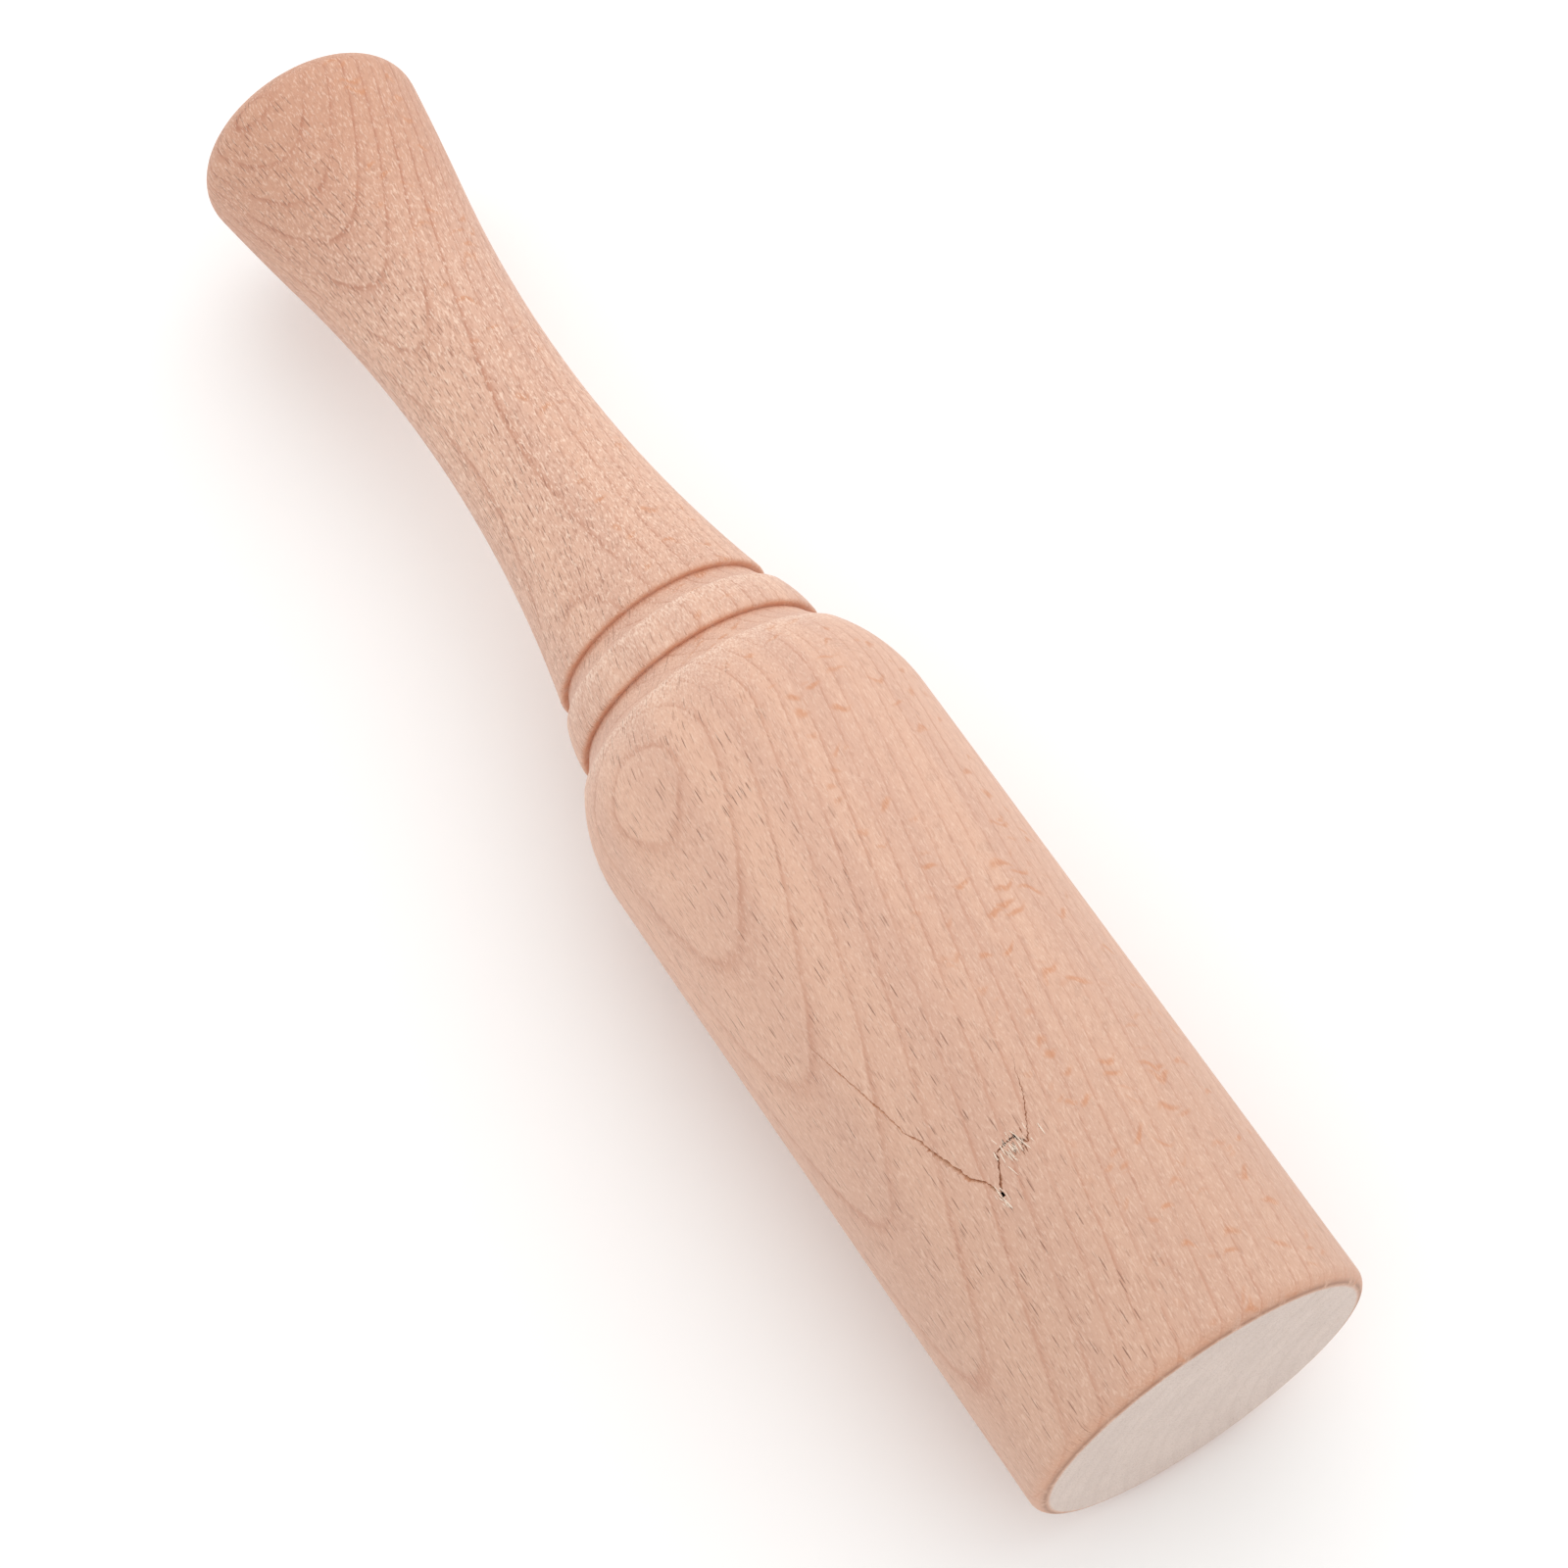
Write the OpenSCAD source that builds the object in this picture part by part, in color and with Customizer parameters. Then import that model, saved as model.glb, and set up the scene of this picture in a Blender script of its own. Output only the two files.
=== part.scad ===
// Round carver's mallet, turned from one piece of beech: a flared knob, a hollow waist, a bead
// between two grooves and a straight head. It lies on the side of its head. The turning axis
// runs along X, with the knob's end at -X and the head's flat end face at +X.

/* [Overall] */
// Length from the knob's end to the head's end face
length = 272; // [262:1:290]

/* [Head] */
// Diameter of the head's straight side
head_d = 60; // [57:0.5:66]
// Length of the head, from its sharp edge at the groove to its end face
head_len = 135; // [125:0.5:140]
// Diameter of that sharp edge, where the shoulder starts
head_edge_d = 51.4; // [50:0.2:54]
// Radius of the shoulder's arc
shoulder_r = 30; // [24:1:40]
// Rounding between the head's side and its end face
face_edge_r = 2.4; // [1:0.1:4]

/* [Bead and grooves] */
// Length of the bead between the grooves
bead_len = 6.5; // [5:0.5:8]
// Diameter of the bead's sharp edge, on the handle's side
bead_edge_d = 42.7; // [42:0.1:44]
// Diameter of the bead at its lip, on the head's side
bead_lip_d = 45.6; // [45:0.1:47]
// How far the bead's middle swells above a straight cone
bead_swell = 0.25; // [0.1:0.05:0.5]
// Width of the groove between the handle and the bead
handle_groove_w = 5.1; // [4:0.1:6]
// Width of the groove between the bead and the head
head_groove_w = 6; // [5:0.1:7]
// Depth of each groove's steep wall, below its lip
groove_depth = 1.2; // [0.8:0.1:1.6]
// How far each groove's floor hollows below a straight cone
floor_hollow = 0.3; // [0.1:0.05:0.5]
// Rounding of the lip above each steep wall
lip_r = 0.6; // [0.3:0.1:0.7]

/* [Handle] */
// Diameter of the handle at its lip, beside the first groove
flare_d = 39.4; // [38:0.1:41]
// Diameter of the hollow waist
waist_d = 27; // [24:0.5:29]
// Distance of the waist from the knob's end
waist_at = 66.8; // [62:0.2:72]
// Distance from the knob's end to where the waist's hollow turns into the knob's swell
swell_from = 28; // [22:1:32]
// Diameter that the knob's end would have with a sharp corner
knob_d = 42; // [41:0.5:43]
// Rounding of the knob's end
knob_edge_r = 5.2; // [3:0.2:8]

/* [Hidden] */
small_steps = 8;
long_steps = 24;
turn_steps = 180;

// The outline is drawn as [distance from the knob's end, radius].
head_r = head_d / 2;
head_edge = [length - head_len, head_edge_d / 2];
bead_lip = [head_edge.x - head_groove_w, bead_lip_d / 2];
bead_edge = [bead_lip.x - bead_len, bead_edge_d / 2];
flare_lip = [bead_edge.x - handle_groove_w, flare_d / 2];
waist = [waist_at, waist_d / 2];

// Radius of the arc that starts level at one point and passes through another
function level_arc_r(level, other) =
    let (way = other - level) (way * way) / (2 * way.y);

// Radius of an arc over a chord, from how far its middle stands off the chord
function bowed_arc_r(chord, bow) = (pow(chord / 2, 2) + pow(bow, 2)) / (2 * bow);

// Direction of a point from a centre, in degrees from 0 to 360
function turn(centre, point) =
    let (way = point - centre) (atan2(way.y, way.x) + 360) % 360;

// Points along an arc
function arc(centre, radius, from, to, steps) = [
    for (i = [0 : steps])
        let (angle = from + (to - from) * i / steps)
        centre + radius * [cos(angle), sin(angle)]
];

// Points from a to b along an arc, bowed outwards, or inwards where bow is negative
function bowed(a, b, bow, steps) =
    let (
        way = b - a,
        radius = bowed_arc_r(norm(way), abs(bow)),
        outwards = [-way.y, way.x] / norm(way) * sign(bow),
        centre = (a + b) / 2 + outwards * (abs(bow) - radius)
    )
    arc(centre, radius, turn(centre, a), turn(centre, b), steps);

// Hollow waist: one arc, level at the waist, that ends at the handle's lip
waist_r = level_arc_r(waist, flare_lip);
waist_centre = waist + [0, waist_r];
swell_run = waist_at - swell_from;
swell_start = waist_centre - [swell_run, sqrt(pow(waist_r, 2) - pow(swell_run, 2))];

// Knob's swell: an arc that leaves the hollow smoothly and aims at the knob's sharp corner
swell_normal = (waist_centre - swell_start) / waist_r;
to_corner = [0, knob_d / 2] - swell_start;
swell_r = -(to_corner * to_corner) / (2 * (to_corner * swell_normal));
swell_centre = swell_start - swell_r * swell_normal;

// Rounding of the knob's end, touching the end plane and the swell
knob_centre_r = sqrt(pow(swell_r - knob_edge_r, 2) - pow(knob_edge_r - swell_centre.x, 2));
knob_centre = [knob_edge_r, swell_centre.y + knob_centre_r];
knob_turn = turn(swell_centre, knob_centre);

// Shoulder: an arc from the head's sharp edge that runs smoothly into its straight side
shoulder_rise = shoulder_r - (head_r - head_edge.y);
shoulder_run = sqrt(pow(shoulder_r, 2) - pow(shoulder_rise, 2));
shoulder_centre = [head_edge.x + shoulder_run, head_r - shoulder_r];

function knob_outline() = concat(
    [[0, 0]],
    arc(knob_centre, knob_edge_r, 180, knob_turn, small_steps),
    arc(swell_centre, swell_r, knob_turn, turn(swell_centre, swell_start), small_steps)
);

function waist_outline() = arc(
    waist_centre, waist_r,
    turn(waist_centre, swell_start), turn(waist_centre, flare_lip), long_steps
);

function bead_outline() = bowed(bead_edge, bead_lip, bead_swell, small_steps);

// A groove after an outline's last point, its lip: the lip's rounding, the foot of the steep
// wall below it, and the hollow floor that rises to the next sharp edge
function groove_outline(before, edge) =
    let (
        lip = before[len(before) - 1],
        lean = turn(before[len(before) - 2], lip) + 90,
        lip_centre = lip - lip_r * [cos(lean), sin(lean)],
        foot = [lip_centre.x + lip_r, lip.y - groove_depth]
    )
    concat(
        arc(lip_centre, lip_r, lean, 0, small_steps),
        bowed(foot, edge, -floor_hollow, small_steps)
    );

function head_outline() = concat(
    arc(shoulder_centre, shoulder_r, turn(shoulder_centre, head_edge), 90, long_steps),
    arc([length, head_r] - face_edge_r * [1, 1], face_edge_r, 90, 0, small_steps),
    [[length, 0]]
);

module turned_mallet() {
    outline = concat(
        knob_outline(),
        waist_outline(),
        groove_outline(waist_outline(), bead_edge),
        bead_outline(),
        groove_outline(bead_outline(), head_edge),
        head_outline()
    );
    color("burlywood")
        translate([-length / 2, 0, head_r])
            rotate([-90, 0, -90])
                rotate_extrude($fn = turn_steps)
                    polygon([for (point = outline) [point.y, point.x]]);
}

turned_mallet();
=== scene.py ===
"""Round carver's mallet: sanded beech with its rings, rays and split grain, on a pale floor."""

import math
import random

import bmesh
import bpy
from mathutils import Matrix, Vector, noise


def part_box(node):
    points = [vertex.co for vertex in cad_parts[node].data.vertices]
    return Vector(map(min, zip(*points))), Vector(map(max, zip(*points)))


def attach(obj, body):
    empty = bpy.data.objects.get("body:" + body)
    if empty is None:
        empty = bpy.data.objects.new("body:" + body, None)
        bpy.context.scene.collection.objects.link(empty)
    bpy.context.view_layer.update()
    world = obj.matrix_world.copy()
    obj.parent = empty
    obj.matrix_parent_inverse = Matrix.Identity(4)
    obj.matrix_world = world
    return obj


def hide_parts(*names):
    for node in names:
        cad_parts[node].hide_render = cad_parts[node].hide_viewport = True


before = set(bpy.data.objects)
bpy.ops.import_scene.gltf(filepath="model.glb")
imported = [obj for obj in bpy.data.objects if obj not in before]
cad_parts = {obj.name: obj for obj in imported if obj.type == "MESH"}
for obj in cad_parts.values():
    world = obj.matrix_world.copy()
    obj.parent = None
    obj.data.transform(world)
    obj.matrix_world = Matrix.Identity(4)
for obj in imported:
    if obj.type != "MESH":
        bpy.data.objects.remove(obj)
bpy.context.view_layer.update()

MM = 0.001
NODE = "turned_mallet"
node_low, node_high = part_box(NODE)
KNOB_END = node_low.x
LENGTH = node_high.x - KNOB_END
AXIS = Vector((0.0, 0.0, (node_low.z + node_high.z) / 2))
HEAD_R = (node_high.z - node_low.z) / 2

# ---------------------------------------------------------------- camera, floor and light

VIEW_AZIMUTH = math.radians(57.4)
VIEW_ELEVATION = math.radians(63.77)
VIEW_DISTANCE = 0.6721
VIEW_RIGHT = 0.0107
VIEW_DOWN = 0.0110
LENS_MM = 95.8
NEAREST_SEEN = 0.02
FURTHEST_SEEN = 20.0

# Soft boxes: [name, parts of its direction to the camera's right, up and back, distance and side in
# metres, power in watts, tint]
SOFT_BOXES = (
    ("key", (0.45, 1.6, 1.0), 0.5, 0.8, 1.2, (1.0, 0.985, 0.97)),
    ("fill", (-0.9, 0.2, 0.8), 1.6, 1.2, 1.2, (0.97, 0.985, 1.0)),
)
STUDIO_WHITE = (1.0, 1.0, 1.0, 1.0)
STUDIO_STRENGTH = 0.95

FLOOR_HALF = 3.0
FLOOR_GAP = 0.02 * MM
FLOOR_WHITE = (0.97, 0.97, 0.965, 1.0)


def view_axes():
    """Unit vectors to the right, up and back towards the camera, with no roll."""
    flat = math.cos(VIEW_ELEVATION)
    back = Vector((
        math.sin(VIEW_AZIMUTH) * flat,
        -math.cos(VIEW_AZIMUTH) * flat,
        math.sin(VIEW_ELEVATION),
    ))
    right = Vector((0, 0, 1)).cross(back).normalized()
    return right, back.cross(right), back


def add_camera():
    right, up, back = view_axes()
    camera = bpy.data.objects.new("camera", bpy.data.cameras.new("camera"))
    camera.data.lens = LENS_MM
    camera.data.clip_start = NEAREST_SEEN
    camera.data.clip_end = FURTHEST_SEEN
    camera.location = AXIS + VIEW_RIGHT * right - VIEW_DOWN * up + VIEW_DISTANCE * back
    camera.rotation_mode = "QUATERNION"
    camera.rotation_quaternion = (-back).to_track_quat("-Z", "Y")
    bpy.context.scene.collection.objects.link(camera)
    bpy.context.scene.camera = camera


def add_soft_box(name, direction, distance, side, power, tint):
    """A square area light that faces the mallet from a direction."""
    light = bpy.data.objects.new(name, bpy.data.lights.new(name, "AREA"))
    light.data.size = side
    light.data.energy = power
    light.data.color = tint
    light.location = AXIS + direction.normalized() * distance
    light.rotation_mode = "QUATERNION"
    light.rotation_quaternion = (-direction).to_track_quat("-Z", "Y")
    bpy.context.scene.collection.objects.link(light)


def add_lights():
    right, up, back = view_axes()
    for name, parts, *settings in SOFT_BOXES:
        direction = parts[0] * right + parts[1] * up + parts[2] * back
        add_soft_box(name, direction, *settings)
    world = bpy.data.worlds.new("studio")
    world.use_nodes = True
    background = world.node_tree.nodes["Background"]
    background.inputs["Color"].default_value = STUDIO_WHITE
    background.inputs["Strength"].default_value = STUDIO_STRENGTH
    bpy.context.scene.world = world
    bpy.context.scene.view_settings.view_transform = "Standard"


def add_floor():
    corners = [(x * FLOOR_HALF, y * FLOOR_HALF, 0) for x, y in ((-1, -1), (1, -1), (1, 1), (-1, 1))]
    mesh = bpy.data.meshes.new("floor")
    mesh.from_pydata(corners, [], [(0, 1, 2, 3)])
    floor = bpy.data.objects.new("floor", mesh)
    floor.location.z = node_low.z - FLOOR_GAP
    paint = bpy.data.materials.new("floor_paint")
    paint.use_nodes = True
    shader = paint.node_tree.nodes["Principled BSDF"]
    shader.inputs["Base Color"].default_value = FLOOR_WHITE
    shader.inputs["Roughness"].default_value = 0.9
    shader.inputs["Specular IOR Level"].default_value = 0.1
    mesh.materials.append(paint)
    bpy.context.scene.collection.objects.link(floor)


# ---------------------------------------------------------------- the turned shape

# The lathe mesh's longest step along the outline, and its vertices round the axis
ROW_STEP = 1.0 * MM
COLUMNS = 256
# Points of the outline that are closer than this are one point
SAME = 0.002 * MM
# A bend of the outline that is sharper than this stays a corner
CORNER = math.radians(14)
# The unevenness of hand sanding, and its waves in each metre
UNEVEN = 0.03 * MM
UNEVEN_WAVES = 60


def turned_place(point):
    """A point's distance from the knob's end, and from the turning axis."""
    return point.x - KNOB_END, math.hypot(point.y - AXIS.y, point.z - AXIS.z)


def cad_outline():
    """The turning outline as [distance from the knob's end, radius], from the CAD node's own points."""
    points = set()
    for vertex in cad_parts[NODE].data.vertices:
        station, radius = turned_place(vertex.co)
        points.add((round(station / SAME), round(radius / SAME)))
    # at the knob's end the outline climbs from the axis, and down every other wall it falls
    ordered = sorted(points, key=lambda p: (p[0], p[1] if p[0] == 0 else -p[1]))
    outline = [(0.0, 0.0)]
    for station, radius in ordered:
        point = (station * SAME, radius * SAME)
        if math.dist(point, outline[-1]) > 2 * SAME:
            outline.append(point)
    if outline[-1][1] > SAME:
        outline.append((outline[-1][0], 0.0))
    return [Vector(point) for point in outline]


def turn_at(outline, index):
    """The angle by which the outline turns at one of its points, and half a turn at its ends."""
    if index in (0, len(outline) - 1):
        return math.pi
    before = outline[index] - outline[index - 1]
    after = outline[index + 1] - outline[index]
    return before.angle(after)


def between(start, leave, end, arrive, t):
    """A point on the cubic curve that leaves the start and arrives at the end in two directions."""
    return (
        (2 * t**3 - 3 * t**2 + 1) * start
        + (t**3 - 2 * t**2 + t) * leave
        + (3 * t**2 - 2 * t**3) * end
        + (t**3 - t**2) * arrive
    )


def smoothed(outline):
    """The outline with short steps, rounded through its shallow bends and sharp at its corners."""
    corner = [turn_at(outline, i) > CORNER for i in range(len(outline))]
    result = [outline[0]]
    for i in range(len(outline) - 1):
        start, end = outline[i], outline[i + 1]
        run = end - start
        leave = run if corner[i] else (end - outline[i - 1]).normalized() * run.length
        arrive = run if corner[i + 1] else (outline[i + 2] - start).normalized() * run.length
        steps = max(1, math.ceil(run.length / ROW_STEP))
        result.extend(between(start, leave, end, arrive, k / steps) for k in range(1, steps + 1))
    return result


def on_surface(station, azimuth, radius):
    """A point at a distance along the axis, and turned from straight up towards +Y."""
    return Vector((
        KNOB_END + station,
        AXIS.y + radius * math.sin(azimuth),
        AXIS.z + radius * math.cos(azimuth),
    ))


def turned_ring(shape, station, radius):
    """A ring of vertices round the axis, slightly uneven, or the one vertex on the axis itself."""
    if radius < SAME:
        return [shape.verts.new(on_surface(station, 0, 0))]
    ring = []
    for k in range(COLUMNS):
        azimuth = 2 * math.pi * k / COLUMNS
        wave = noise.noise(on_surface(station, azimuth, radius) * UNEVEN_WAVES)
        uneven = UNEVEN * wave * min(1.0, radius / HEAD_R)
        ring.append(shape.verts.new(on_surface(station, azimuth, radius + uneven - UNEVEN / 2)))
    return ring


def lathe(outline):
    """A closed mesh of revolution."""
    shape = bmesh.new()
    rings = [turned_ring(shape, station, radius) for station, radius in outline]
    for low, high in zip(rings, rings[1:]):
        for k in range(COLUMNS):
            after = (k + 1) % COLUMNS
            on_low = (low[k % len(low)], low[after % len(low)])
            on_high = (high[after % len(high)], high[k % len(high)])
            shape.faces.new(list(dict.fromkeys(on_low + on_high)))
    bmesh.ops.recalc_face_normals(shape, faces=shape.faces)
    return shape


# ---------------------------------------------------------------- the tree that the blank came from

# All of it is in mm, from the origin, which is on the floor below the mallet's middle.

# The pith passes below and beside the mallet and rises towards the head, along FIBRE and a slight
# SWEEP, which is its bend for each mm squared. PITH is where it passes the mallet's middle.
PITH = Vector((0.0, 47.2, -16.3))
FIBRE = Vector((1.0, 0.07, 0.20)).normalized()
SWEEP = Vector((0.0, -0.000225, 0.000236))

# A ring's edge is OUTER_RING from the pith. The next edge inwards is RING_STEP away, and each step
# further in is longer than the one before by twice RING_GROWTH. Slow and fine waves sway the edges.
OUTER_RING = 94.37
RING_STEP = 1.75
RING_GROWTH = 0.05
SLOW_SWAY = 0.9
FINE_SWAY = 0.24

# The rays are nearly parallel: they spread from a line beside the mallet, through RAY_SOURCE and
# along RAY_LEAN. RAY_SPREAD is the mallet's distance from it, where angles are measured off in mm.
RAY_SOURCE = Vector((0.0, 273.0, -93.0))
RAY_LEAN = Vector((1.0, -0.09, 0.0))
RAY_SPREAD = 300.0

# ---------------------------------------------------------------- split grain on the head

# The split is a pointed flake: [mm from the knob's end, degrees from the top towards +Y, width in mm].
SPLIT = [
    (198.7, -50.6, 0.22), (203.0, -48.6, 0.40), (210.0, -45.1, 0.50), (215.0, -42.6, 0.55),
    (219.5, -41.0, 0.45), (222.0, -38.4, 0.75), (225.0, -37.0, 0.85), (229.5, -33.8, 0.95),
    (231.5, -32.7, 0.80), (233.5, -29.2, 0.60), (236.5, -27.6, 0.85), (233.0, -23.6, 0.55),
    (230.8, -21.4, 0.52), (230.4, -15.2, 0.55), (232.4, -13.0, 0.48), (231.0, -11.2, 0.36),
    (227.9, -7.9, 0.38), (225.4, -5.6, 0.30), (222.0, -3.8, 0.24), (220.6, -2.5, 0.12),
]
SPLIT_SEED = 7
SPLIT_STEP = 0.35 * MM
SPLIT_JITTER_MM = 0.09
SPLIT_WIDTHS = (0.5, 1.25)
# About how many degrees round the head make a mm
DEGREES_IN_MM = 2

# A wedge's depth, its two edges and how far it cuts in under the second, all in widths
WEDGE_DEPTH = 1.1
WEDGE_EDGES = (0.75, 0.25)
SPLIT_UNDERCUT = 0.45
PIT_UNDERCUT = 0.3
# How far a wedge stands out of the wood
ABOVE = 0.25 * MM

# Torn pits and lifted fibres: [centre and spread, both in mm and degrees as above, count]
FRAY_CENTRE = (231.4, -17.0)
CHIP_CENTRE = (237.4, -27.6)
PITS = ((FRAY_CENTRE, (1.0, 2.7), 20), (CHIP_CENTRE, (0.5, 0.6), 3))
FIBRES = ((FRAY_CENTRE, (0.95, 2.7), 60), (CHIP_CENTRE, (0.7, 0.8), 18))

# Ranges in mm, and outlines as [share of the length, share of the width]
PIT_LENGTH = (0.5, 1.5)
PIT_WIDTH = (0.25, 0.55)
PIT_OUTLINE = ((-0.5, 0.3), (-0.2, 1.0), (0.15, 0.8), (0.5, 0.2))
PIT_SLANT_DEGREES = 0.3
FIBRE_SEED = 11
FIBRE_LENGTH = (0.8, 2.4)
FIBRE_WIDTH = (0.12, 0.26)
FIBRE_LIFT = (0.03, 0.30)
FIBRE_OUTLINE = ((0.0, 0.8), (0.35, 1.0), (0.75, 0.6), (1.0, 0.12))
# A fibre's lift grows with this power of the way to its tip
FIBRE_CURL = 1.5
# How far a fibre may lie off the others' direction, to each side
FIBRE_ASIDE = 0.25
# How far below the surface a fibre starts
ROOT_DEPTH = 0.05 * MM


def head_point(station_mm, degrees):
    return on_surface(station_mm * MM, math.radians(degrees), HEAD_R)


def outwards(point):
    """The direction straight out from the turning axis."""
    return Vector((0, point.y - AXIS.y, point.z - AXIS.z)).normalized()


def scattered(rng, centre, spread):
    """A random place on the head around a centre."""
    return [middle + rng.gauss(0, reach) for middle, reach in zip(centre, spread)]


def split_path(rng):
    """Closely spaced points along the split, each with its width, with a ragged jitter to each side."""
    path = []
    for start, end in zip(SPLIT, SPLIT[1:]):
        a, b = head_point(*start[:2]), head_point(*end[:2])
        steps = max(2, round((b - a).length / SPLIT_STEP))
        for k in range(steps):
            t = k / steps
            station, degrees, width = (start[i] + (end[i] - start[i]) * t for i in range(3))
            jitter = SPLIT_JITTER_MM * rng.uniform(-1, 1)
            width = width * rng.uniform(*SPLIT_WIDTHS)
            path.append((head_point(station + jitter, degrees + DEGREES_IN_MM * jitter), width * MM))
    path.append((head_point(*SPLIT[-1][:2]), SPLIT[-1][2] * MM))
    return path


def add_skin(shape, sections):
    """A closed skin through sections that have the same number of vertices."""
    count = len(sections[0])
    for low, high in zip(sections, sections[1:]):
        for k in range(count):
            after = (k + 1) % count
            shape.faces.new((low[k], low[after], high[after], high[k]))


def add_wedge(shape, path, undercut):
    """A closed wedge along a path: it slopes down from one edge, and cuts in under the other."""
    sections = []
    for i, (point, width) in enumerate(path):
        ahead = path[min(i + 1, len(path) - 1)][0] - path[max(i - 1, 0)][0]
        up = outwards(point)
        side = ahead.cross(up).normalized()
        rows = (
            point + side * width * WEDGE_EDGES[0] + up * ABOVE,
            point - side * width * undercut - up * width * WEDGE_DEPTH,
            point - side * width * WEDGE_EDGES[1] + up * ABOVE,
        )
        sections.append([shape.verts.new(row) for row in rows])
    add_skin(shape, sections)
    shape.faces.new(sections[0])
    shape.faces.new(sections[-1][::-1])


def add_pits(shape, rng):
    """Short torn pits that run along the fibres."""
    for centre, spread, count in PITS:
        for _ in range(count):
            station, degrees = scattered(rng, centre, spread)
            length = rng.uniform(*PIT_LENGTH)
            width = rng.uniform(*PIT_WIDTH)
            path = []
            for along, share in PIT_OUTLINE:
                middle = head_point(station + length * along, degrees - PIT_SLANT_DEGREES * along)
                path.append((middle, width * share * MM))
            add_wedge(shape, path, PIT_UNDERCUT)


def split_cutter():
    rng = random.Random(SPLIT_SEED)
    shape = bmesh.new()
    add_wedge(shape, split_path(rng), SPLIT_UNDERCUT)
    add_pits(shape, rng)
    bmesh.ops.recalc_face_normals(shape, faces=shape.faces)
    mesh = bpy.data.meshes.new("split_cutter")
    shape.to_mesh(mesh)
    shape.free()
    return bpy.data.objects.new("split_cutter", mesh)


def add_fibre(shape, layer, root, length, width, lift, aside):
    """A thin pointed fibre that stays in the wood at its root and lifts towards its tip."""
    up = outwards(root)
    along = (FIBRE + aside * FIBRE.cross(up)).normalized()
    side = along.cross(up).normalized()
    sections = []
    for share, thick in FIBRE_OUTLINE:
        middle = root + along * length * share + up * (lift * share**FIBRE_CURL - ROOT_DEPTH)
        half = width * thick / 2
        rows = (middle + side * half, middle + up * half, middle - side * half, middle - up * half)
        sections.append([shape.verts.new(row) for row in rows])
    add_skin(shape, sections)
    shape.faces.new(sections[0][::-1])
    shape.faces.new(sections[-1])
    for section in sections:
        for vertex in section:
            vertex[layer] = 1.0


def add_frayed_fibres(shape, layer):
    rng = random.Random(FIBRE_SEED)
    for centre, spread, count in FIBRES:
        for _ in range(count):
            root = head_point(*scattered(rng, centre, spread))
            length = rng.uniform(*FIBRE_LENGTH) * MM
            width = rng.uniform(*FIBRE_WIDTH) * MM
            lift = rng.uniform(*FIBRE_LIFT) * MM
            way = rng.choice((-1, 1))
            aside = rng.uniform(-FIBRE_ASIDE, FIBRE_ASIDE)
            add_fibre(shape, layer, root, length * way, width, lift, aside)


# ---------------------------------------------------------------- the beech

# Where the finish and the painted shade towards the ends change, in mm along X from the mallet's middle:
# [not yet, fully]
ROUGHER_HANDLE = (20.0, -40.0)
HANDLED_KNOB = (-80.0, -125.0)
# painted shade, partly: the head's end darkens as if less light reached it, and partly the wood's own
# tone
HEAD_END_TONE_AND_SHADE = (20.0, 130.0)

# Kinds of ray: [the cell that may hold one, half of the ray's size, share of cells that do, share of
# the ray that is solid before it fades]. Sizes are in mm along the mallet, across the rays, along them.
SHORT_RAYS = ((2.8, 0.62, 5.0), (1.2, 0.074, 2.3), 0.8, 0.6)
LONG_RAYS = ((5.0, 1.3, 8.0), (1.6, 0.09, 3.6), 0.55, 0.6)
FLECK_RAYS = ((3.2, 2.0, 7.0), (0.85, 0.65, 3.2), 0.85, 0.25)
# The flecks are curled by noise that shifts them up to so far along the mallet, in mm, and moved to
# a place of their own in the other two directions
FLECK_CURL = 7.0
FLECK_PLACE = (7.0, 3.0)


def colour(red, green, blue):
    return (red, green, blue, 1.0)


PINK_WOOD = colour(0.635, 0.385, 0.285)
PEACH_WOOD = colour(0.705, 0.435, 0.315)
# The knob and head-end colours are darker: partly the wood's own tone, partly painted shade towards the
# mallet's ends
KNOB_WOOD_AND_SHADE = colour(0.55, 0.28, 0.18)
HEAD_END_WOOD_AND_SHADE = colour(0.55, 0.34, 0.245)
LATE_WOOD = colour(0.52, 0.25, 0.165)
RING_LINE = colour(0.44, 0.185, 0.11)
SHORT_RAY = colour(0.24, 0.11, 0.07)
LONG_RAY = colour(0.20, 0.09, 0.055)
FLECK = colour(0.57, 0.235, 0.11)
PORE = colour(0.40, 0.19, 0.125)
# Raised nap: its pale fibres, and partly painted highlight where they catch the light
NAP_AND_HIGHLIGHT = colour(0.90, 0.68, 0.54)
TORN_NAP = colour(0.88, 0.68, 0.55)
BURNISHED = colour(0.66, 0.30, 0.165)
DARK_EDGE = colour(0.30, 0.14, 0.08)
TORN_PIT = colour(0.72, 0.40, 0.21)
FRAYED = colour(0.88, 0.73, 0.60)
END_GRAIN_DARK = colour(0.64, 0.515, 0.45)
END_GRAIN_LIGHT = colour(0.685, 0.555, 0.485)
END_RING = colour(0.45, 0.33, 0.27)
END_HAIR = colour(0.76, 0.66, 0.60)
END_DOT = colour(0.42, 0.31, 0.25)


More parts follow.
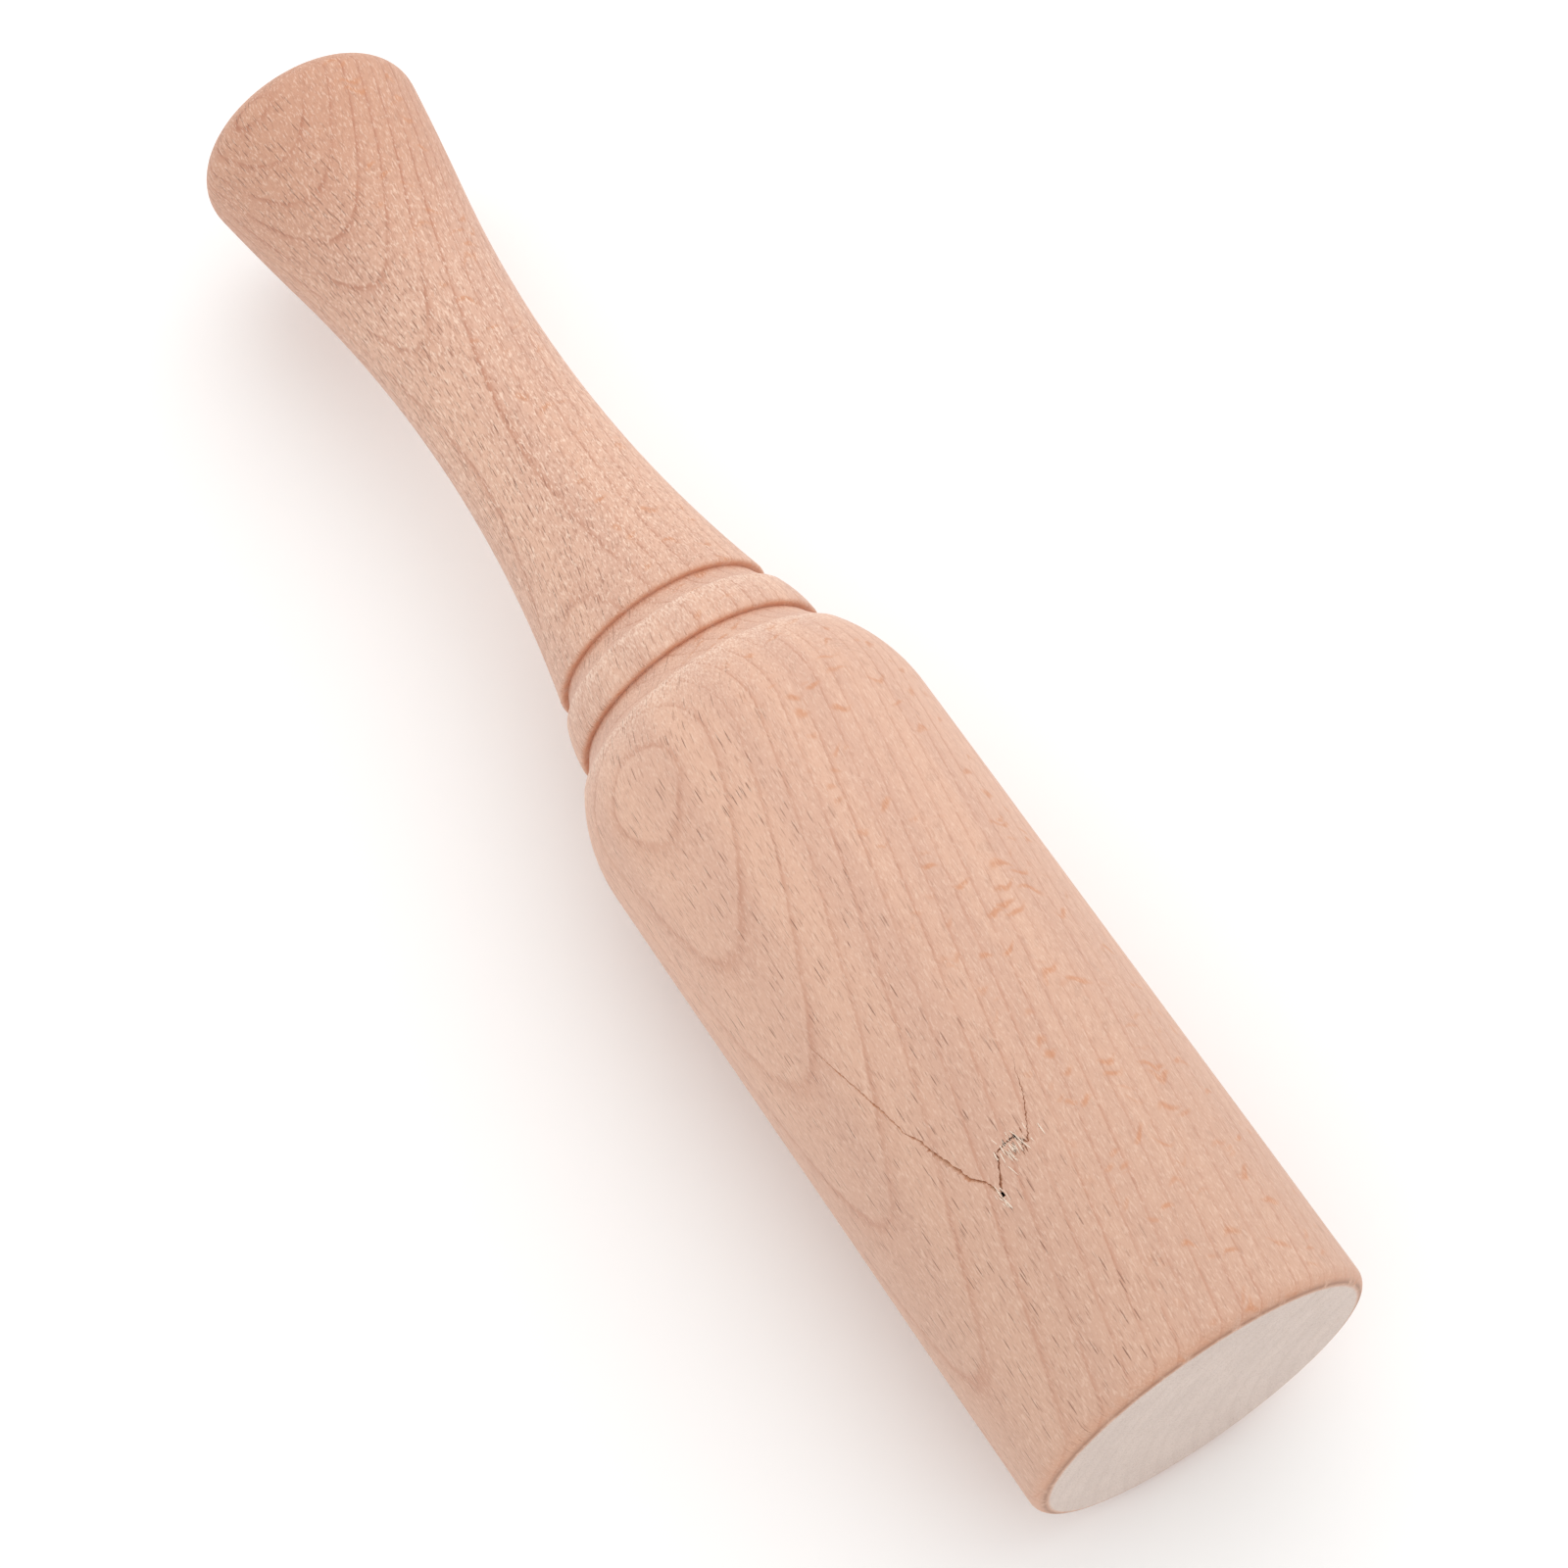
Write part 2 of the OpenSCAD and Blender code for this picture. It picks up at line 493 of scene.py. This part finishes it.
class Tree:
    """Short calls that build one material's node tree. A value is a number, a tuple or a socket."""

    def __init__(self, name):
        self.material = bpy.data.materials.new(name)
        self.material.use_nodes = True
        self.nodes = self.material.node_tree.nodes
        self.links = self.material.node_tree.links
        self.shader = self.nodes["Principled BSDF"]

    def put(self, socket, value):
        if isinstance(value, bpy.types.NodeSocket):
            self.links.new(value, socket)
        else:
            socket.default_value = value

    def add(self, kind, inputs, output=0, **settings):
        node = self.nodes.new(kind)
        for name, value in settings.items():
            setattr(node, name, value)
        for key, value in inputs.items():
            self.put(node.inputs[key], value)
        return node.outputs[output]

    def math(self, operation, *values):
        return self.add("ShaderNodeMath", dict(enumerate(values)), operation=operation)

    def times(self, value, factor):
        return self.math("MULTIPLY", value, factor)

    def linear(self, value, slope, start):
        return self.math("MULTIPLY_ADD", value, slope, start)

    def vector(self, operation, *values):
        output = "Value" if operation in ("DOT_PRODUCT", "LENGTH") else "Vector"
        return self.add("ShaderNodeVectorMath", dict(enumerate(values)), output, operation=operation)

    def scaled(self, vector, factor):
        return self.add("ShaderNodeVectorMath", {"Vector": vector, "Scale": factor}, operation="SCALE")

    def join(self, x, y, z):
        return self.add("ShaderNodeCombineXYZ", {"X": x, "Y": y, "Z": z})

    def part(self, vector, name):
        return self.add("ShaderNodeSeparateXYZ", {"Vector": vector}, name)

    def noise(self, vector, waves, detail=2.0, roughness=0.5):
        """Soft random noise, with so many waves for each 1 of the vector's three parts."""
        stretched = self.vector("MULTIPLY", vector, waves)
        inputs = {"Vector": stretched, "Scale": 1.0, "Detail": detail, "Roughness": roughness}
        return self.add("ShaderNodeTexNoise", inputs)

    def rise(self, value, none, full):
        """0 at none and 1 at full, smooth between them and level past both. Either may be the higher."""
        inputs = {"Value": value, "From Min": none, "From Max": full}
        return self.add("ShaderNodeMapRange", inputs, interpolation_type="SMOOTHSTEP")

    def mix(self, below, above, mask, strength=1.0):
        """One colour under another, which shows as far as the mask times the strength."""
        node = self.nodes.new("ShaderNodeMix")
        node.data_type = "RGBA"
        self.put(node.inputs["Factor"], self.times(mask, strength))
        self.put(node.inputs[6], below)
        self.put(node.inputs[7], above)
        return node.outputs[2]

    def attribute(self, name):
        return self.add("ShaderNodeAttribute", {}, "Fac", attribute_name=name)


class Beech(Tree):
    """Sanded beech, solid all through: the places and masks that its layers of colour share."""

    def __init__(self):
        super().__init__("sanded_beech")
        metres = self.add("ShaderNodeTexCoord", {}, "Object")
        self.place = self.scaled(metres, 1 / MM)
        self.x = self.part(self.place, "X")
        self.handle = self.rise(self.x, *ROUGHER_HANDLE)
        self.knob = self.rise(self.x, *HANDLED_KNOB)
        self.set_grain()
        self.set_rings()
        self.set_rays()
        self.bands = self.rise(self.noise(self.grain, (0.008, 0.10, 0.16), 3.0), 0.3, 0.7)
        self.pores = self.noise(self.grain, (0.55, 4.2, 4.2), roughness=0.6)
        self.nap = self.noise(self.grain, (0.85, 3.6, 3.6), roughness=0.65)
        self.patchy = self.noise(self.place, (0.55, 0.55, 0.55), 3.0, 0.6)
        self.burnish = self.times(self.attribute("burnish"), self.rise(self.patchy, 0.15, 0.6))

    def set_grain(self):
        """grain is a place along the mallet, across the rays and along them, in mm. tangential is 1
        where the rays meet the surface end on, and 0 where they lie along it."""
        beside = self.vector("SUBTRACT", self.place, self.scaled(tuple(RAY_LEAN), self.x))
        beside = self.vector("SUBTRACT", beside, tuple(RAY_SOURCE))
        angle = self.math("ARCTAN2", self.part(beside, "Y"), self.part(beside, "Z"))
        self.grain = self.join(self.x, self.times(angle, RAY_SPREAD), self.vector("LENGTH", beside))
        normal = self.add("ShaderNodeNewGeometry", {}, "Normal")
        along_rays = self.vector("NORMALIZE", beside)
        self.tangential = self.math("ABSOLUTE", self.vector("DOT_PRODUCT", normal, along_rays))

    def set_rings(self):
        """Each growth ring darkens slowly towards its outer edge, where it stops short at a line."""
        bend = self.scaled(tuple(SWEEP), self.times(self.x, self.x))
        from_pith = self.vector("SUBTRACT", self.vector("SUBTRACT", self.place, bend), tuple(PITH))
        along = self.vector("DOT_PRODUCT", from_pith, tuple(FIBRE))
        out = self.vector("LENGTH", self.vector("SUBTRACT", from_pith, self.scaled(tuple(FIBRE), along)))

        slow = self.times(self.noise(self.grain, (0.012, 0.05, 0.05), 1.0), SLOW_SWAY)
        fine = self.times(self.noise(self.grain, (0.10, 0.55, 0.3)), FINE_SWAY)
        depth = self.math("SUBTRACT", OUTER_RING, self.math("ADD", out, self.math("ADD", slow, fine)))
        root = self.math("SQRT", self.math("ADD", RING_STEP**2, self.times(depth, 4 * RING_GROWTH)))
        count = self.times(self.math("SUBTRACT", root, RING_STEP), 1 / (2 * RING_GROWTH))
        inwards = self.math("FRACT", count)
        edge = self.rise(inwards, 0.0, 0.07)
        self.late_wood = self.times(self.rise(inwards, 0.50, 0.0), edge)
        self.ring_line = self.times(self.rise(inwards, 0.20, 0.04), edge)

        strong = self.rise(self.noise(self.grain, (0.02, 0.08, 0.5)), 0.25, 0.75)
        strong = self.times(strong, self.linear(self.handle, 0.8, 0.8))
        self.strong = self.times(strong, self.linear(self.knob, 0.8, 1.0))

    def set_rays(self):
        """Short and long rays are seen end on, and curled ones from the side, as flecks."""
        self.short_rays = self.rays(self.grain, *SHORT_RAYS)
        self.long_rays = self.rays(self.grain, *LONG_RAYS)
        curl = self.times(self.noise(self.grain, (0.10, 0.5, 0.22), 1.0), FLECK_CURL)
        curled = self.vector("ADD", self.grain, self.join(curl, *FLECK_PLACE))
        self.fleck_rays = self.rays(curled, *FLECK_RAYS)

    def rays(self, grain, cell, half, chance, solid):
        """A mask of medullary rays: thin sheets that run along the fibres and out from RAY_SOURCE."""
        cells = self.vector("MULTIPLY", grain, tuple(1 / size for size in cell))
        voronoi = self.nodes.new("ShaderNodeTexVoronoi")
        self.put(voronoi.inputs["Vector"], cells)
        self.put(voronoi.inputs["Scale"], 1.0)
        offset = self.vector("SUBTRACT", cells, voronoi.outputs["Position"])
        stretch = tuple(size / reach for size, reach in zip(cell, half))
        from_middle = self.vector("LENGTH", self.vector("MULTIPLY", offset, stretch))
        random_part = self.add("ShaderNodeSeparateColor", {"Color": voronoi.outputs["Color"]})
        present = self.math("LESS_THAN", random_part, chance)
        return self.times(self.rise(from_middle, 1.0, solid), present)

    def ground(self):
        """Pink to peach in long soft bands, deeper on the handled knob and duller at the head's end,
        partly as the wood's own tone and partly as painted shade where the light falls off towards the
        ends.
        """
        wood = self.mix(PINK_WOOD, PEACH_WOOD, self.bands)
        # painted shade, partly: the knob and the head's end darken towards the mallet's ends, besides
        # the wood's own tone
        wood = self.mix(wood, KNOB_WOOD_AND_SHADE, self.knob, 0.75)
        return self.mix(wood, HEAD_END_WOOD_AND_SHADE, self.rise(self.x, *HEAD_END_TONE_AND_SHADE), 0.5)

    def with_rings(self, wood):
        wood = self.mix(wood, LATE_WOOD, self.late_wood, self.linear(self.strong, 0.25, 0.07))
        return self.mix(wood, RING_LINE, self.ring_line, self.linear(self.strong, 0.36, 0.15))

    def with_rays(self, wood):
        """Dark spindles where the rays are end on, and orange flecks where they are seen sidelong."""
        end_on = self.rise(self.tangential, 0.35, 0.85)
        sidelong = self.rise(self.tangential, 0.66, 0.36)
        dark = self.linear(self.handle, 0.56, 0.30)
        wood = self.mix(wood, SHORT_RAY, self.short_rays, self.linear(end_on, dark, 0.12))
        wood = self.mix(wood, LONG_RAY, self.long_rays, self.linear(end_on, 0.70, 0.10))
        return self.mix(wood, FLECK, self.fleck_rays, self.times(sidelong, 0.62))

    def with_pores_and_nap(self, wood):
        """Dark pores and light raised nap, both strongest on the handle, and less so on its knob. The
        nap's lighter colour is partly its pale fibres and partly painted highlight where they catch the
        light.
        """
        streaks = self.linear(self.knob, -1.0, self.linear(self.handle, 1.5, 1.1))
        strength = self.times(streaks, 0.25)
        wood = self.mix(wood, PORE, self.rise(self.pores, 0.50, 0.32), strength)
        # painted highlight, partly: light specks where the raised nap catches the light, besides its
        # pale fibres
        return self.mix(wood, NAP_AND_HIGHLIGHT, self.rise(self.nap, 0.52, 0.66), strength)

    def with_wear(self, wood):
        """Torn nap past the crisp edges, burnished groove walls, and the split's torn wood."""
        fuzz = self.times(self.attribute("fuzz"), self.rise(self.nap, 0.38, 0.6))
        dark_edge = self.times(self.attribute("dark_edge"), self.rise(self.patchy, 0.25, 0.5))
        wood = self.mix(wood, TORN_NAP, fuzz, 0.6)
        wood = self.mix(wood, BURNISHED, self.burnish, 0.75)
        wood = self.mix(wood, DARK_EDGE, dark_edge, 0.8)
        wood = self.mix(wood, TORN_PIT, self.attribute("torn"))
        return self.mix(wood, FRAYED, self.attribute("frayed"), 0.9)

    def end_grain(self):
        """The flat end face: greyer and lighter, with faint rings, thin light hairs and dark dots."""
        grey = self.mix(END_GRAIN_DARK, END_GRAIN_LIGHT, self.bands)
        grey = self.mix(grey, END_RING, self.late_wood, 0.16)
        hairs = self.noise(self.grain, (1.0, 3.4, 0.35), roughness=0.6)
        grey = self.mix(grey, END_HAIR, self.rise(hairs, 0.56, 0.70), 0.35)
        dots = self.noise(self.place, (3.2, 3.2, 3.2), roughness=0.6)
        return self.mix(grey, END_DOT, self.rise(dots, 0.52, 0.30), 0.55)

    def roughness(self):
        """Matt, and a little smoother where it is burnished."""
        return self.math("SUBTRACT", self.linear(self.nap, 0.16, 0.58), self.times(self.burnish, 0.18))

    def relief(self):
        """Raised nap, and sunken pores and rays, as heights in mm."""
        height = self.times(self.nap, 0.055)
        height = self.math("ADD", height, self.times(self.rise(self.pores, 0.3, 0.5), 0.03))
        height = self.math("SUBTRACT", height, self.times(self.long_rays, 0.03))
        height = self.math("SUBTRACT", height, self.times(self.short_rays, 0.02))
        return self.add("ShaderNodeBump", {"Height": height, "Distance": MM, "Strength": 0.7})


def sanded_beech():
    beech = Beech()
    wood = beech.with_rings(beech.ground())
    wood = beech.with_pores_and_nap(beech.with_rays(wood))
    wood = beech.mix(beech.with_wear(wood), beech.end_grain(), beech.attribute("end_face"))
    finish = {
        "Base Color": wood,
        "Roughness": beech.roughness(),
        "Normal": beech.relief(),
        "Specular IOR Level": 0.32,
        "Sheen Weight": 0.10,
        "Sheen Roughness": 0.6,
    }
    for name, value in finish.items():
        beech.put(beech.shader.inputs[name], value)
    return beech.material


# ---------------------------------------------------------------- wear

# A step of the outline that falls at least this far is a groove's steep wall
LEAST_WALL = 0.3 * MM
BURNISH_REACH = 0.6 * MM
FUZZ_REACH = 2.6 * MM
FUZZ_END = 4 * FUZZ_REACH
EDGE_SLACK = 0.1 * MM

# The dark line lies on the end face's rounded edge, which is burnished as well
DARK_LINE = Vector((LENGTH - 0.2 * MM, HEAD_R - 1.5 * MM))
DARK_LINE_REACH = 0.45 * MM
FACE_BURNISH = 0.6
FACE_BURNISH_REACH = 1.5 * MM
FACE_SLACK = 0.02 * MM

# Wood is torn where the head's straight side was cut, fully so at this depth
STRAIGHT_SIDE = (165 * MM, LENGTH - 3 * MM)
TORN_DEPTH = 0.12 * MM

WEAR = ("burnish", "fuzz", "dark_edge", "end_face", "torn", "frayed")


def walls_and_edges(outline):
    """The steep walls as [place, top, foot], each with the sharp edge where its groove's floor ends."""
    found = []
    for i in range(1, len(outline) - 2):
        start, end = outline[i], outline[i + 1]
        if end.x - start.x < 2 * SAME and start.y - end.y > LEAST_WALL and end.y > SAME:
            edge = next(j for j in range(i + 2, len(outline)) if turn_at(outline, j) > CORNER)
            found.append(((start.x, start.y, end.y), outline[edge].x))
    return found


def fade(distance, reach):
    """1 at no distance, falling smoothly to nothing past the reach."""
    return math.exp(-((distance / reach) ** 2))


def mark_wear(shape, layers, grooves):
    """Writes each vertex's wear, from where it lies on the turned outline."""
    for vertex in shape.verts:
        station, radius = turned_place(vertex.co)
        near_face = fade(LENGTH - station, FACE_BURNISH_REACH)
        burnish = FACE_BURNISH * near_face if radius > DARK_LINE.y else 0.0
        fuzz = 0.0
        for (wall, top, foot), edge in grooves:
            distance = math.hypot(station - wall, max(0.0, radius - top, foot - radius))
            burnish = max(burnish, fade(distance, BURNISH_REACH))
            if edge - EDGE_SLACK <= station < edge + FUZZ_END:
                fuzz = max(fuzz, math.exp(-abs(station - edge) / FUZZ_REACH))
        vertex[layers["burnish"]] = burnish
        vertex[layers["fuzz"]] = fuzz
        from_line = (Vector((station, radius)) - DARK_LINE).length
        vertex[layers["dark_edge"]] = fade(from_line, DARK_LINE_REACH)
        vertex[layers["end_face"]] = 1.0 if station > LENGTH - FACE_SLACK else 0.0
        if STRAIGHT_SIDE[0] < station < STRAIGHT_SIDE[1]:
            depth = HEAD_R - radius - 2 * UNEVEN
            vertex[layers["torn"]] = min(1.0, max(0.0, depth / TORN_DEPTH))


# ---------------------------------------------------------------- the mallet

# An edge whose faces meet at more than this is shaded as a crisp one
SHARP = math.radians(32)


def with_split(mallet):
    """The mallet's mesh with the split and the pits cut out of it."""
    cutter = split_cutter()
    bpy.context.scene.collection.objects.link(cutter)
    cut = mallet.modifiers.new("split", "BOOLEAN")
    cut.operation = "DIFFERENCE"
    cut.object = cutter
    cut.solver = "MANIFOLD"
    graph = bpy.context.evaluated_depsgraph_get()
    mesh = bpy.data.meshes.new_from_object(mallet.evaluated_get(graph))
    mallet.modifiers.clear()
    bpy.data.objects.remove(cutter)
    return mesh


def finish_surface(mesh, outline):
    """Adds the wear and the lifted fibres, and shades the mesh smooth but for its crisp edges."""
    shape = bmesh.new()
    shape.from_mesh(mesh)
    layers = {name: shape.verts.layers.float.new(name) for name in WEAR}
    mark_wear(shape, layers, walls_and_edges(outline))
    add_frayed_fibres(shape, layers["frayed"])
    for face in shape.faces:
        face.smooth = True
    for edge in shape.edges:
        edge.smooth = edge.is_manifold and edge.calc_face_angle() < SHARP
    shape.to_mesh(mesh)
    shape.free()


def build_mallet():
    outline = smoothed(cad_outline())
    shape = lathe(outline)
    blank = bpy.data.meshes.new("mallet")
    shape.to_mesh(blank)
    shape.free()
    mallet = bpy.data.objects.new("turned_beech_mallet", blank)
    bpy.context.scene.collection.objects.link(mallet)
    mallet.data = with_split(mallet)
    finish_surface(mallet.data, outline)
    mallet.data.materials.clear()
    mallet.data.materials.append(sanded_beech())
    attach(mallet, "root")
    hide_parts(NODE)


add_camera()
add_lights()
add_floor()
build_mallet()
